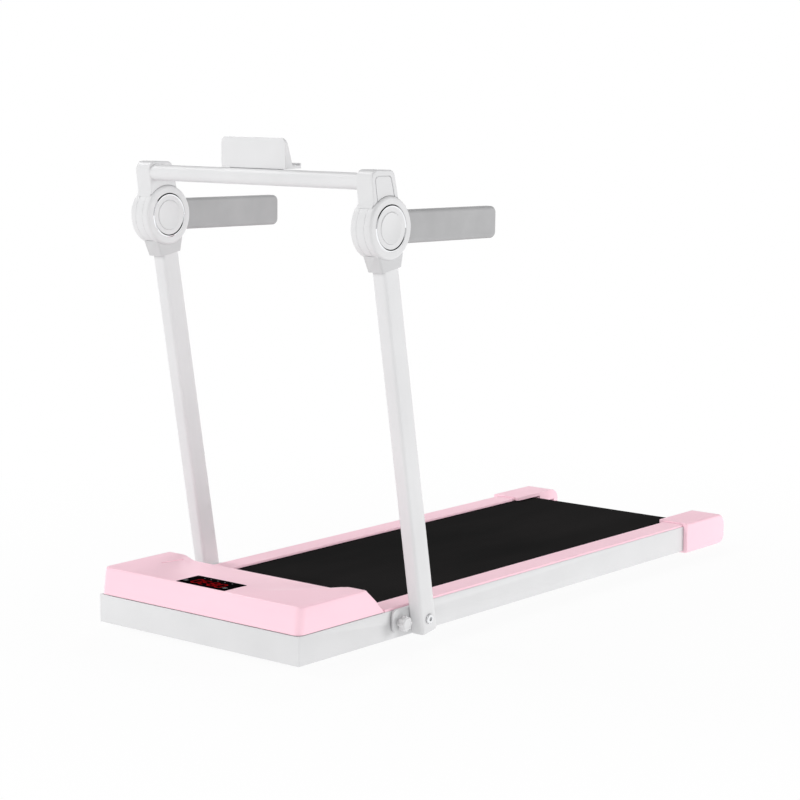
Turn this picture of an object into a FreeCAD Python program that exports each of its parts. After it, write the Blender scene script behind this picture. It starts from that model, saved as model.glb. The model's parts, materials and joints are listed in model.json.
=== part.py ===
import FreeCAD, Part
import math
import os

# Folding walking pad, in millimetres. -Y is the motor end, +Z is up, and the origin is mid-length on the floor.
# Left is -X and right is +X, as seen by someone who stands in front of the motor end.

# Base frame of folded steel sheet
base_width = 500.0
base_length = 1362.0
base_height = 52.5
floor_gap = 10.0
frame_sheet = 2.5
side_flange = 28.0
front_flange = 22.0
pan_sheet = 1.5
pan_length = 172.0
rear_bar_inset = 60.0
rear_bar_depth = 25.0
rear_bar_height = 30.0
rear_bar_rise = 8.0
tube_wall = 2.0

# Cross members, deck and cushions
cross_width = 40.0
cross_height = 13.0
cross_rise = 14.5
cross_places = (350.0, 755.0, 1160.0)
deck_side_gap = 36.0
deck_thickness = 15.0
deck_end_gap = 14.0
cushion_radius = 12.0
cushion_inset = 85.0

# Running belt, rollers and their axles
belt_side_gap = 45.0
belt_thickness = 2.0
belt_drop = 0.7
roller_radius = 18.0
roller_wall = 3.0
roller_plug = 12.0
roller_end_gap = 3.0
roller_clearance = 0.3
deck_clearance = 0.1
front_roller_place = 200.0
rear_roller_inset = 90.0
axle_radius = 6.0
running_clearance = 0.05
tension_bolt_radius = 4.0
tension_bolt_inset = 18.0
tension_bolt_head = 6.5

# Side rails and rear caps
rail_width = 48.0
rail_height = 4.5
rail_inset = 2.0
rail_round = 2.0
joint_gap = 0.5
cap_length = 150.0
cap_width = 70.5
cap_overhang = 9.5
cap_rise = 8.1
cap_drop = 4.0
cap_wall = 3.0
cap_rear_wall = 14.0
cap_top_round = 24.0
cap_bottom_round = 20.0
cap_side_round = 5.0
cap_lip = 0.9

# Motor hood
hood_height = 50.5
hood_wall = 3.0
hood_setback = 1.5
hood_side_inset = 0.5
hood_draft = 7.5
hood_side_draft = 0.5
hood_corner = 8.0
hood_edge_round = 2.5
hood_crest_place = 180.0
hood_rear_place = 231.0
hood_slope_bulge = 2.3
hood_lip_gap = 2.3
dish_start = 62.0
dish_depth = 8.2
dish_front_margin = 150.0
dish_floor_margin = 68.0
dish_rim_margin = 47.0
key_slot_length = 50.0
key_slot_width = 4.0
key_slot_depth = 1.5
key_slot_place = 124.5
key_slot_inset = 65.8
key_slot_turn = 9.6

# Display
window_length = 122.0
window_depth = 58.0
window_from_edge = 3.5
window_proud = 0.3
digit_count = 4
digit_width = 15.0
digit_depth = 26.0
digit_height = 5.0
digit_pitch = 19.0
display_board_margin = 3.0
board_thickness = 1.6

# Motor, pulleys, drive belt and control board
motor_place = 92.0
motor_rise = 46.0
motor_radius = 34.0
motor_length = 120.0
motor_inset = 100.0
motor_shaft_radius = 5.0
motor_pulley_radius = 12.0
roller_pulley_radius = 25.0
pulley_width = 10.0
pulley_gap = 1.5
drive_belt_width = 8.0
drive_belt_thickness = 2.0
bracket_length = 96.0
bracket_depth = 60.0
bracket_height = 20.0
control_depth = 92.0
control_gap = 38.0
control_inset = 112.0
control_place = 48.0
standoff_height = 6.0
heat_sink_height = 30.0

# Mains inlet and rocker switch in the left side
inlet_place = 52.0
switch_place = 104.0
socket_rise = 28.0
inlet_length = 30.0
inlet_height = 22.0
inlet_depth = 22.0
inlet_wall = 3.0
pin_length = 9.0
pin_thickness = 2.0
pin_height = 6.0
plate_margin = 5.0
plate_sheet = 2.0
switch_length = 26.0
switch_height = 15.0
switch_depth = 18.0
rocker_radius = 10.4
rocker_height = 10.0
rocker_sink = 3.0
rocker_face = 5.2
rocker_tilt = 7.0
rocker_clearance = 0.3

# Feet and transport wheels
foot_radius = 18.0
front_foot_place = 146.0
front_foot_inset = 60.0
rear_foot_inset = 130.0
wheel_radius = 19.0
wheel_width = 14.0
wheel_lift = 1.0
wheel_place = 74.0
wheel_inset = 75.0
wheel_gap = 1.0
wheel_axle_radius = 4.0
bracket_sheet = 2.5
bracket_reach = 15.0

# Uprights
post_gap = 7.6
post_thickness = 30.0
post_width = 42.0
post_wall = 2.0
post_corner = 3.5
post_foot_round = 3.0
post_lean = 9.24
pivot_place = 309.0
pivot_rise = 32.5
post_below_pivot = 26.3
hub_reach = 722.9
pivot_radius = 6.0
bush_wall = 3.0
bolt_head_radius = 8.7
bolt_head_height = 3.5
bolt_hex = 4.4
bolt_hex_depth = 2.5
spacer_wall = 5.0
swing_gap = 0.3

# Foot plate and lock knob
plate_thickness = 5.0
plate_front = 244.0
plate_rear = 334.0
plate_low = 13.0
plate_high = 55.0
plate_corner = 10.0
knob_place = 260.0
knob_rise = 29.6
knob_shank_radius = 4.0
knob_slot_clearance = 0.6
knob_core_radius = 12.0
knob_lobe_radius = 3.2
knob_lobe_ring = 11.0
knob_lobes = 8
knob_thickness = 11.0
knob_neck_length = 8.0
knob_neck_radius = 7.0
knob_cap_radius = 8.0
knob_cap_height = 1.2
knob_boss_radius = 8.0

# Hubs
hub_radius = 55.5
hub_thickness = 48.0
core_thickness = 17.0
ear_gap = 0.4
ear_thickness = 5.6
hub_axle_radius = 7.0
cover_round = 5.5
ring_outer = 41.4
ring_width = 4.5
ring_seat = 1.5
ring_proud = 1.0
button_radius = 28.0
button_proud = 1.0
button_height = 3.8
button_round = 1.2
button_clearance = 0.3
hub_swing_gap = 0.6
collar_top = 40.0
collar_bottom = 74.0
collar_top_half = 36.5
collar_bottom_front = 28.0
collar_bottom_rear = 24.5
collar_bottom_wall = 3.0
collar_corner = 5.0
socket_clearance = 0.1
socket_stop = 58.0

# Blocks, crossbar, grips
block_thickness = 38.0
block_front_low = 38.0
block_front_high = 47.0
block_rear_low = 31.0
block_rear_high = 14.5
block_low = 30.0
block_high = 102.0
block_fall = 2.5
block_front_round = 16.0
block_rear_round = 13.0
block_edge_round = 3.0
panel_margin = 9.0
panel_groove = 1.8
panel_groove_depth = 1.8
panel_corner = 8.0
crossbar_forward = 29.0
crossbar_up = 80.4
crossbar_radius = 14.75
crossbar_wall = 1.8
crossbar_insert = 26.0
grip_length = 314.0
grip_height = 58.5
grip_thickness = 24.0
grip_tip_round = 12.0
grip_edge_round = 7.0
grip_fall = 1.1
handle_bar_height = 40.0
handle_bar_thickness = 10.0
handle_bar_start = 22.0
handle_bar_end_gap = 14.0

# Phone stand
stand_width = 158.0
stand_front = 3.5
stand_height = 54.5
stand_top_thickness = 4.0
stand_back = 16.0
stand_reach = 38.0
stand_gap = 1.0
stand_floor = 5.5
stand_lip = 4.0
stand_lip_thickness = 3.0
stand_corner = 11.0
saddle_width = 120.0
saddle_front = 1.0
saddle_back = 12.0
saddle_drop = 3.0

V = FreeCAD.Vector
half_width = base_width / 2
front_y = -base_length / 2
rear_y = base_length / 2
top_z = floor_gap + base_height
sides = (("left", -1), ("right", 1))


def from_front(distance):
    return front_y + distance


def above_base(height):
    return floor_gap + height


def box(x0, x1, y0, y1, z0, z1):
    return Part.makeBox(x1 - x0, y1 - y0, z1 - z0, V(x0, y0, z0))


def rod(radius, x0, x1, y, z):
    return Part.makeCylinder(radius, x1 - x0, V(x0, y, z), V(1, 0, 0))


def post_up(radius, height, x, y, z):
    return Part.makeCylinder(radius, height, V(x, y, z))


def prism(points, x0, x1):
    corners = [V(x0, y, z) for y, z in points]
    face = Part.Face(Part.makePolygon(corners + corners[:1]))
    return face.extrude(V(x1 - x0, 0, 0))


def rounded_wire(place, u0, u1, v0, v1, radius):
    inset = radius * (1 - math.sqrt(0.5))
    corners = (
        ((u1, v0 + radius), (u1, v1 - radius), (u1 - inset, v1 - inset), (u1 - radius, v1)),
        ((u1 - radius, v1), (u0 + radius, v1), (u0 + inset, v1 - inset), (u0, v1 - radius)),
        ((u0, v1 - radius), (u0, v0 + radius), (u0 + inset, v0 + inset), (u0 + radius, v0)),
        ((u0 + radius, v0), (u1 - radius, v0), (u1 - inset, v0 + inset), (u1, v0 + radius)),
    )
    edges = []
    for start, corner, middle, end in corners:
        edges.append(Part.LineSegment(place(*start), place(*corner)).toShape())
        edges.append(Part.Arc(place(*corner), place(*middle), place(*end)).toShape())
    return Part.Wire(edges)


def on_side(shape, sign):
    if sign > 0:
        return shape
    return shape.mirror(V(0, 0, 0), V(1, 0, 0))


def rounded(shape, radius, wanted):
    return shape.makeFillet(radius, [edge for edge in shape.Edges if wanted(edge)])


def middle(edge):
    return edge.valueAt((edge.FirstParameter + edge.LastParameter) / 2)


def along_x(edge):
    ends = edge.Vertexes
    if len(ends) < 2:
        return False
    span = ends[1].Point.sub(ends[0].Point)
    return abs(span.y) < 1e-6 and abs(span.z) < 1e-6


def save(name, *solids):
    os.makedirs("parts", exist_ok=True)
    shape = solids[0]
    if len(solids) > 1:
        shape = Part.makeCompound(list(solids))
    shape.exportStep(f"parts/{name}.step")


# Places that several pieces share
belt_width = base_width - 2 * belt_side_gap
deck_width = base_width - 2 * deck_side_gap
wheel_xs = (wheel_inset - half_width, half_width - wheel_inset)
motor_x0 = motor_inset - half_width
motor_x1 = motor_x0 + motor_length
belt_top = top_z - belt_drop
belt_turn = roller_radius + roller_clearance + belt_thickness
roller_z = belt_top - belt_turn
front_roller_y = from_front(front_roller_place)
rear_roller_y = rear_y - rear_roller_inset
deck_top = belt_top - belt_thickness - deck_clearance
deck_bottom = deck_top - deck_thickness
web_x = half_width - frame_sheet
flange_x = half_width - side_flange
pan_top = above_base(frame_sheet + pan_sheet)
frame_rear = rear_y - cap_rear_wall - joint_gap
rear_bar_y0 = rear_y - rear_bar_inset
rear_bar_y1 = rear_bar_y0 + rear_bar_depth
hood_top = top_z + hood_height
pulley_x1 = -(belt_width / 2 + roller_end_gap + pulley_gap)
pulley_x0 = pulley_x1 - pulley_width
motor_y = from_front(motor_place)
motor_z = above_base(motor_rise)
socket_z = above_base(socket_rise)
tension_x = web_x - tension_bolt_inset
post_x = half_width + post_gap + post_thickness / 2
post_inner = half_width + post_gap
post_outer = post_inner + post_thickness
pivot_y = from_front(pivot_place)
pivot_z = above_base(pivot_rise)
plate_x0 = post_inner - plate_thickness
spacer_x1 = plate_x0 - swing_gap
knob_y = from_front(knob_place)
knob_z = above_base(knob_rise)
lean_sin = math.sin(math.radians(post_lean))
lean_cos = math.cos(math.radians(post_lean))


def post_point(x, across, along):
    # Across is measured backwards from the upright's centre line, along is measured up from the pivot.
    y = pivot_y + across * lean_cos - along * lean_sin
    return V(x, y, pivot_z + across * lean_sin + along * lean_cos)


post_up_vector = V(0, -lean_sin, lean_cos)
hub = post_point(post_x, 0, hub_reach)
core_half = core_thickness / 2
ear_start = core_half + ear_gap
ear_end = ear_start + ear_thickness
hub_half = hub_thickness / 2
bar_y = hub.y - crossbar_forward
bar_z = hub.z + crossbar_up


def hub_rod(radius, x0, x1):
    return rod(radius, post_x + x0, post_x + x1, hub.y, hub.z)


# Base frame
def side_channel(sign):
    y0 = front_y + frame_sheet
    outer = box(flange_x, half_width, y0, frame_rear, floor_gap, top_z)
    inside = box(flange_x - 1, web_x, y0 - 1, frame_rear + 1, above_base(frame_sheet), top_z - frame_sheet)
    channel = outer.cut(inside)
    channel = channel.cut(rod(pivot_radius + socket_clearance, web_x - 1, half_width + 1, pivot_y, pivot_z))
    knob_hole = knob_shank_radius + knob_slot_clearance
    channel = channel.cut(rod(knob_hole, web_x - 1, half_width + 1, knob_y, knob_z))
    return on_side(channel, sign)


def socket_hole(place, length, height):
    y = from_front(place)
    reach = length / 2
    rise = height / 2
    return box(-half_width - 1, -web_x + 1, y - reach, y + reach, socket_z - rise, socket_z + rise)


left_channel = side_channel(-1)
left_channel = left_channel.cut(socket_hole(inlet_place, inlet_length, inlet_height))
left_channel = left_channel.cut(socket_hole(switch_place, switch_length, switch_height))
save("frame_side_left", left_channel)
save("frame_side_right", side_channel(1))


def front_channel():
    panel = box(-half_width, half_width, front_y, front_y + frame_sheet, floor_gap, top_z)
    y0 = front_y + frame_sheet
    y1 = y0 + front_flange
    lower = box(-flange_x, flange_x, y0, y1, floor_gap, above_base(frame_sheet))
    upper = box(-flange_x, flange_x, y0, y1, top_z - frame_sheet, top_z)
    return panel.fuse([lower, upper]).removeSplitter()


save("frame_front", front_channel())


def hollow_bar(y0, y1, z0, z1):
    outer = box(-web_x, web_x, y0, y1, z0, z1)
    inside = box(-web_x - 1, web_x + 1, y0 + tube_wall, y1 - tube_wall, z0 + tube_wall, z1 - tube_wall)
    return outer.cut(inside)


cross_z0 = above_base(cross_rise)
cross_z1 = cross_z0 + cross_height
cross_ys = [from_front(place) for place in cross_places]
cross_half = cross_width / 2
save("cross_members", *[hollow_bar(y - cross_half, y + cross_half, cross_z0, cross_z1) for y in cross_ys])


def rear_bar():
    z0 = above_base(rear_bar_rise)
    bar = hollow_bar(rear_bar_y0, rear_bar_y1, z0, z0 + rear_bar_height)
    for x in (-tension_x, tension_x):
        start = V(x, rear_bar_y0 - 1, roller_z)
        bar = bar.cut(Part.makeCylinder(tension_bolt_radius, rear_bar_depth + 2, start, V(0, 1, 0)))
    return bar


save("rear_bar", rear_bar())


def floor_pan():
    y0 = front_y + frame_sheet
    pan = box(-web_x, web_x, y0, from_front(pan_length), above_base(frame_sheet), pan_top)
    reach = wheel_radius + 2 * wheel_gap
    half = wheel_width / 2 + wheel_gap
    y = from_front(wheel_place)
    for x in wheel_xs:
        pan = pan.cut(box(x - half, x + half, y - reach, y + reach, floor_gap, pan_top + 1))
    return pan


save("floor_pan", floor_pan())

# Deck, cushions and running belt
deck_y0 = front_roller_y + roller_radius + deck_end_gap
deck_y1 = rear_roller_y - roller_radius - deck_end_gap
save("running_deck", box(-deck_width / 2, deck_width / 2, deck_y0, deck_y1, deck_bottom, deck_top))
cushion_xs = (cushion_inset - half_width, half_width - cushion_inset)
cushion_height = deck_bottom - cross_z1
cushions = [post_up(cushion_radius, cushion_height, x, y, cross_z1) for y in cross_ys for x in cushion_xs]
save("deck_cushions", *cushions)


def loop_face(x, circles, grow):
    # A taut band round two wheels: two outer tangents and the arcs between them, on the plane at x.
    (y0, z0, r0), (y1, z1, r1) = circles
    r0 = r0 + grow
    r1 = r1 + grow
    distance = math.hypot(y1 - y0, z1 - z0)
    heading = math.atan2(z1 - z0, y1 - y0)
    opening = math.acos((r0 - r1) / distance)

    def at(y, z, radius, angle):
        return V(x, y + radius * math.cos(angle), z + radius * math.sin(angle))

    upper = heading + opening
    lower = heading - opening
    first_upper = at(y0, z0, r0, upper)
    first_lower = at(y0, z0, r0, lower)
    second_upper = at(y1, z1, r1, upper)
    second_lower = at(y1, z1, r1, lower)
    edges = [
        Part.LineSegment(first_upper, second_upper).toShape(),
        Part.Arc(second_upper, at(y1, z1, r1, heading), second_lower).toShape(),
        Part.LineSegment(second_lower, first_lower).toShape(),
        Part.Arc(first_lower, at(y0, z0, r0, heading + math.pi), first_upper).toShape(),
    ]
    return Part.Face(Part.Wire(edges))


def band(circles, gap, thickness, x0, x1):
    outer = loop_face(x0, circles, gap + thickness).extrude(V(x1 - x0, 0, 0))
    inner = loop_face(x0 - 1, circles, gap).extrude(V(x1 - x0 + 2, 0, 0))
    return outer.cut(inner)


rollers = ((front_roller_y, roller_z, roller_radius), (rear_roller_y, roller_z, roller_radius))
save("running_belt", band(rollers, roller_clearance, belt_thickness, -belt_width / 2, belt_width / 2))


# Rollers on fixed axles, with the driven pulley on the front one
def roller(y):
    half = belt_width / 2 + roller_end_gap
    drum = rod(roller_radius, -half, half, y, roller_z)
    drum = drum.cut(rod(roller_radius - roller_wall, -half + roller_plug, half - roller_plug, y, roller_z))
    return drum.cut(rod(axle_radius + running_clearance, -half - 1, half + 1, y, roller_z))


def driven_pulley():
    neck_end = pulley_x1 + pulley_gap
    wheel = rod(roller_pulley_radius, pulley_x0, pulley_x1, front_roller_y, roller_z)
    neck = rod(roller_radius - roller_wall, pulley_x1, neck_end, front_roller_y, roller_z)
    bore = rod(axle_radius + running_clearance, pulley_x0 - 1, neck_end + 1, front_roller_y, roller_z)
    return wheel.fuse(neck).removeSplitter().cut(bore)


save("front_roller", roller(front_roller_y))
save("roller_pulley", driven_pulley())
save("rear_roller", roller(rear_roller_y))
save("front_axle", rod(axle_radius, -web_x, web_x, front_roller_y, roller_z))
save("rear_axle", rod(axle_radius, -web_x, web_x, rear_roller_y, roller_z))


def tension_bolt(x):
    y0 = rear_roller_y + axle_radius
    y1 = rear_bar_y1 + cap_lip
    shank = Part.makeCylinder(tension_bolt_radius, y1 - y0, V(x, y0, roller_z), V(0, 1, 0))
    head = Part.makeCylinder(tension_bolt_head, tension_bolt_radius * 2, V(x, y1, roller_z), V(0, 1, 0))
    bolt = shank.fuse(head).removeSplitter()
    reach = 2 * tension_bolt_head
    return bolt.cut(rod(axle_radius, x - reach, x + reach, rear_roller_y, roller_z))


save("tension_bolts", tension_bolt(-tension_x), tension_bolt(tension_x))

# Side rails and rear caps
rail_y0 = from_front(hood_rear_place) + joint_gap
cap_y0 = rear_y - cap_length
rail_top = top_z + rail_height


def side_rail(sign):
    x1 = half_width - rail_inset
    strip = box(x1 - rail_width, x1, rail_y0, cap_y0 - joint_gap, top_z, rail_top)

    def upper_long_edge(edge):
        point = middle(edge)
        return abs(point.z - rail_top) < 1e-6 and abs(point.y - (rail_y0 + cap_y0 - joint_gap) / 2) < 1e-6

    return on_side(rounded(strip, rail_round, upper_long_edge), sign)


def rear_cap(sign):
    x1 = half_width + cap_overhang
    x0 = x1 - cap_width
    z0 = floor_gap - cap_drop
    z1 = top_z + cap_rise
    shell = box(x0, x1, cap_y0, rear_y, z0, z1)

    def rear_edge(z):
        def wanted(edge):
            point = middle(edge)
            return along_x(edge) and abs(point.y - rear_y) < 1e-6 and abs(point.z - z) < 1e-6

        return wanted

    def outer_side(edge):
        point = middle(edge)
        return abs(point.x - x1) < 1e-6 and point.y > cap_y0 + 1e-6

    shell = rounded(shell, cap_top_round, rear_edge(z1))
    shell = rounded(shell, cap_bottom_round, rear_edge(z0))
    shell = rounded(shell, cap_side_round, outer_side)
    inner_rear = rear_y - cap_rear_wall
    shell = shell.cut(box(x0 - 1, flange_x, cap_y0 - 1, inner_rear, z0 - 1, top_z + cap_lip))
    outer_wall = half_width + joint_gap
    shell = shell.cut(box(flange_x - 1, outer_wall, cap_y0 - 1, inner_rear, floor_gap, top_z))
    # A skirt closes the inner side behind the belt, above the rear bar.
    skirt_y0 = rear_roller_y + belt_turn + 2 * joint_gap
    skirt_z0 = above_base(rear_bar_rise) + rear_bar_height + joint_gap
    skirt = box(x0, x0 + cap_wall, skirt_y0, inner_rear, skirt_z0, top_z + cap_lip)
    shell = shell.fuse(skirt).removeSplitter()
    reach = cap_rear_wall + 2
    hole = Part.makeCylinder(tension_bolt_head, reach, V(tension_x, inner_rear - 1, roller_z), V(0, 1, 0))
    return on_side(shell.cut(hole), sign)


for side, sign in sides:
    save(f"side_rail_{side}", side_rail(sign))
    save(f"rear_cap_{side}", rear_cap(sign))


# Motor hood: a drafted box with a sloped back and a shallow dish behind the display
def hood_outline(z, half, front, corner, rear):
    inset = corner * (1 - math.sqrt(0.5))
    points = [
        V(half, rear, z),
        V(-half, rear, z),
        V(-half, front + corner, z),
        V(-half + corner, front, z),
        V(half - corner, front, z),
        V(half, front + corner, z),
    ]
    left_arc = V(-half + inset, front + inset, z)
    right_arc = V(half - inset, front + inset, z)
    edges = [
        Part.LineSegment(points[0], points[1]).toShape(),
        Part.LineSegment(points[1], points[2]).toShape(),
        Part.Arc(points[2], left_arc, points[3]).toShape(),
        Part.LineSegment(points[3], points[4]).toShape(),
        Part.Arc(points[4], right_arc, points[5]).toShape(),
        Part.LineSegment(points[5], points[0]).toShape(),
    ]
    return Part.Wire(edges)


def hood_body(inset, drop):
    half = half_width - hood_side_inset - inset
    front = front_y + hood_setback + inset
    rear = from_front(hood_rear_place)
    crest = from_front(hood_crest_place)
    low = top_z - drop
    high = hood_top - inset
    corner = hood_corner - inset
    bottom = hood_outline(low, half, front, corner, rear)
    top = hood_outline(high, half - hood_side_draft, front + hood_draft, corner, rear)
    body = Part.makeLoft([bottom, top], True, True)
    if drop == 0:

        def top_edge(edge):
            point = middle(edge)
            return abs(point.z - high) < 1e-6 and abs(point.y - rear) > 1e-6

        body = rounded(body, hood_edge_round, top_edge)
    # The sloped back is an arc from the crest down to the rails, moved in by the wall for the inside.
    run = rear - crest
    shift = inset * math.hypot(run, hood_height) / hood_height
    bulge_y = (crest + rear) / 2 - shift + hood_slope_bulge * math.sqrt(0.5)
    bulge_z = (top_z + hood_top) / 2 + hood_slope_bulge * math.sqrt(0.5)
    slope_low = V(-half_width, rear - shift + run / hood_height * drop, low)
    slope_high = V(-half_width, crest - shift + run / hood_height * inset, high)
    ahead = front_y - base_height
    edges = [
        Part.LineSegment(V(-half_width, ahead, low), slope_low).toShape(),
        Part.Arc(slope_low, V(-half_width, bulge_y, bulge_z), slope_high).toShape(),
        Part.LineSegment(slope_high, V(-half_width, ahead, high)).toShape(),
        Part.LineSegment(V(-half_width, ahead, high), V(-half_width, ahead, low)).toShape(),
    ]
    profile = Part.Face(Part.Wire(edges)).extrude(V(base_width, 0, 0))
    body = body.common(profile)
    return body.cut(hood_dish(inset))


def hood_dish(inset):
    start = from_front(dish_start)
    crest = from_front(hood_crest_place)
    front_half = half_width - dish_front_margin
    rear_half = half_width - dish_floor_margin
    flare = (dish_floor_margin - dish_rim_margin) / dish_depth
    over = hood_edge_round + hood_wall

    def section(y):
        share = (y - start) / (crest - start)
        floor_half = front_half + (rear_half - front_half) * share
        floor_z = hood_top - inset - dish_depth * share
        rim_half = floor_half + flare * (hood_top + over - floor_z)
        corners = [V(-floor_half, y, floor_z), V(floor_half, y, floor_z)]
        corners += [V(rim_half, y, hood_top + over), V(-rim_half, y, hood_top + over)]
        return Part.makePolygon(corners + corners[:1])

    return Part.makeLoft([section(start), section(crest + 2 * hood_height)], True, True)


window_y0 = front_y + hood_setback + hood_draft + window_from_edge
window_y1 = window_y0 + window_depth
window_z0 = hood_top - hood_wall
window_half = window_length / 2


def motor_hood():
    shell = hood_body(0, 0).cut(hood_body(hood_wall, 1))
    mouth = belt_width / 2 + hood_lip_gap
    crest = from_front(hood_crest_place)
    rear = from_front(hood_rear_place)
    shell = shell.cut(box(-mouth, mouth, crest, rear + 1, top_z - 1, top_z + hood_lip_gap))
    shell = shell.cut(box(-window_half, window_half, window_y0, window_y1, window_z0 - 1, hood_top + 1))
    corner = V(-key_slot_width / 2, -key_slot_length / 2, 0)
    slot = Part.makeBox(key_slot_width, key_slot_length, key_slot_depth + 1, corner)
    slot.rotate(V(0, 0, 0), V(0, 0, 1), -key_slot_turn)
    slot.translate(V(key_slot_inset - half_width, from_front(key_slot_place), hood_top - key_slot_depth))
    return shell.cut(slot)


save("motor_hood", motor_hood())

# Display: dark window, digit modules under it and the board that carries them
window = box(-window_half, window_half, window_y0, window_y1, window_z0, hood_top + window_proud)
save("display_window", window)
digit_z0 = window_z0 - digit_height
digit_y = (window_y0 + window_y1) / 2
digits = []
for number in range(digit_count):
    x = (number - (digit_count - 1) / 2) * digit_pitch
    y0 = digit_y - digit_depth / 2
    digits.append(box(x - digit_width / 2, x + digit_width / 2, y0, y0 + digit_depth, digit_z0, window_z0))
save("display_digits", *digits)
margin = display_board_margin
board_half = window_half - margin
board_y0 = window_y0 + margin
board_y1 = window_y1 - margin
save("display_board", box(-board_half, board_half, board_y0, board_y1, digit_z0 - board_thickness, digit_z0))


# Drive: motor in its saddle, rotor with the small pulley, drive belt, control board
def motor_body():
    can = rod(motor_radius, motor_x0, motor_x1, motor_y, motor_z)
    can = rounded(can, bracket_sheet, lambda edge: not along_x(edge))
    return can.cut(rod(motor_shaft_radius + running_clearance, -base_width, base_width, motor_y, motor_z))


def motor_bracket():
    middle_x = (motor_x0 + motor_x1) / 2
    x0 = middle_x - bracket_length / 2
    y0 = motor_y - bracket_depth / 2
    block = box(x0, x0 + bracket_length, y0, y0 + bracket_depth, pan_top, pan_top + bracket_height)
    return block.cut(rod(motor_radius, x0 - 1, x0 + bracket_length + 1, motor_y, motor_z))


def motor_rotor():
    shaft = rod(motor_shaft_radius, pulley_x0 - pulley_gap, motor_x1, motor_y, motor_z)
    pulley = rod(motor_pulley_radius, pulley_x0, pulley_x1, motor_y, motor_z)
    return shaft.fuse(pulley).removeSplitter()


def control_board():
    x0 = motor_x1 + control_gap
    y0 = from_front(control_place)
    z0 = pan_top + standoff_height
    x1 = half_width - control_inset
    y1 = y0 + control_depth
    board = box(x0, x1, y0, y1, z0, z0 + board_thickness)
    inset = 2 * standoff_height
    pieces = []
    for x in (x0 + inset, x1 - inset):
        for y in (y0 + inset, y1 - inset):
            pieces.append(post_up(standoff_height / 2, standoff_height, x, y, pan_top))
    surface = z0 + board_thickness
    sink_depth = control_depth / 3
    pieces.append(box(x0 + inset, x1 - inset, y1 - sink_depth, y1, surface, surface + heat_sink_height))
    can_radius = control_depth / 9
    for number in (1, 2, 3):
        x = x0 + (x1 - x0) * number / 4
        pieces.append(post_up(can_radius, heat_sink_height, x, y0 + control_depth / 4, surface))
    return board.fuse(pieces).removeSplitter()


save("motor_body", motor_body())
save("motor_bracket", motor_bracket())
save("motor_rotor", motor_rotor())
belt_x0 = (pulley_x0 + pulley_x1 - drive_belt_width) / 2
pulleys = ((motor_y, motor_z, motor_pulley_radius), (front_roller_y, roller_z, roller_pulley_radius))
belt_x1 = belt_x0 + drive_belt_width
save("drive_belt", band(pulleys, roller_clearance, drive_belt_thickness, belt_x0, belt_x1))
save("control_board", control_board())


# Mains inlet and rocker switch, flush in the left side
def socket_body(place, length, height, depth):
    y = from_front(place)
    reach = length / 2
    rise = height / 2
    body = box(-half_width, -half_width + depth, y - reach, y + reach, socket_z - rise, socket_z + rise)
    reach = reach + plate_margin
    rise = rise + plate_margin
    plate_x = -half_width - plate_sheet
    plate = box(plate_x, -half_width, y - reach, y + reach, socket_z - rise, socket_z + rise)
    return body.fuse(plate).removeSplitter()


def power_inlet():
    y = from_front(inlet_place)
    half = inlet_length / 2 - inlet_wall
    rise = inlet_height / 2 - inlet_wall
    back = -half_width + inlet_depth - inlet_wall
    mouth = box(-half_width - plate_sheet - 1, back, y - half, y + half, socket_z - rise, socket_z + rise)
    inlet = socket_body(inlet_place, inlet_length, inlet_height, inlet_depth).cut(mouth)
    pins = []
    for step in (-1, 0, 1):
        y0 = y + step * half / 2 - pin_thickness / 2
        z0 = socket_z - pin_height / 2
        pins.append(box(back - pin_length, back, y0, y0 + pin_thickness, z0, z0 + pin_height))
    return inlet.fuse(pins).removeSplitter()


rocker_x = -half_width + rocker_sink
rocker_y = from_front(switch_place)


def rocker_drum(radius, height):
    return post_up(radius, height, rocker_x, rocker_y, socket_z - height / 2)


def switch_housing():
    housing = socket_body(switch_place, switch_length, switch_height, switch_depth)
    return housing.cut(rocker_drum(rocker_radius + rocker_clearance, rocker_height + 2 * rocker_clearance))


def switch_rocker():
    size = 4 * rocker_radius
    cutter = Part.makeBox(size, size, size, V(-rocker_face - size, -size / 2, -size / 2))
    cutter.rotate(V(0, 0, 0), V(0, 0, 1), rocker_tilt)
    cutter.translate(V(rocker_x, rocker_y, socket_z))
    return rocker_drum(rocker_radius, rocker_height).cut(cutter)


save("power_inlet", power_inlet())
save("switch_housing", switch_housing())
save("switch_rocker", switch_rocker())


# Feet and transport wheels
def feet():
    pads = []
    for x in (front_foot_inset - half_width, half_width - front_foot_inset):
        pads.append(post_up(foot_radius, above_base(frame_sheet), x, from_front(front_foot_place), 0))
    rear_y_foot = (rear_bar_y0 + rear_bar_y1) / 2
    for x in (rear_foot_inset - half_width, half_width - rear_foot_inset):
        pads.append(post_up(foot_radius, above_base(rear_bar_rise), x, rear_y_foot, 0))
    return pads


save("feet", *feet())
wheel_y = from_front(wheel_place)
wheel_z = wheel_radius + wheel_lift
cheek_x0 = wheel_width / 2 + wheel_gap
cheek_x1 = cheek_x0 + bracket_sheet


def transport_wheel(x):
    tread = rod(wheel_radius, x - wheel_width / 2, x + wheel_width / 2, wheel_y, wheel_z)
    tread = rounded(tread, bracket_sheet, lambda edge: not along_x(edge))
    bore = rod(wheel_axle_radius + running_clearance, x - wheel_width, x + wheel_width, wheel_y, wheel_z)
    return tread.cut(bore)


def wheel_bracket(x):
    y0 = wheel_y - bracket_reach
    y1 = wheel_y + bracket_reach
    roof = wheel_z + wheel_radius + 2 * wheel_gap
    outer = box(x - cheek_x1, x + cheek_x1, y0, y1, pan_top, roof + bracket_sheet)
    bracket = outer.cut(box(x - cheek_x0, x + cheek_x0, y0 - 1, y1 + 1, pan_top - 1, roof))
    return bracket.cut(rod(wheel_axle_radius, x - 2 * cheek_x1, x + 2 * cheek_x1, wheel_y, wheel_z))


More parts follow.
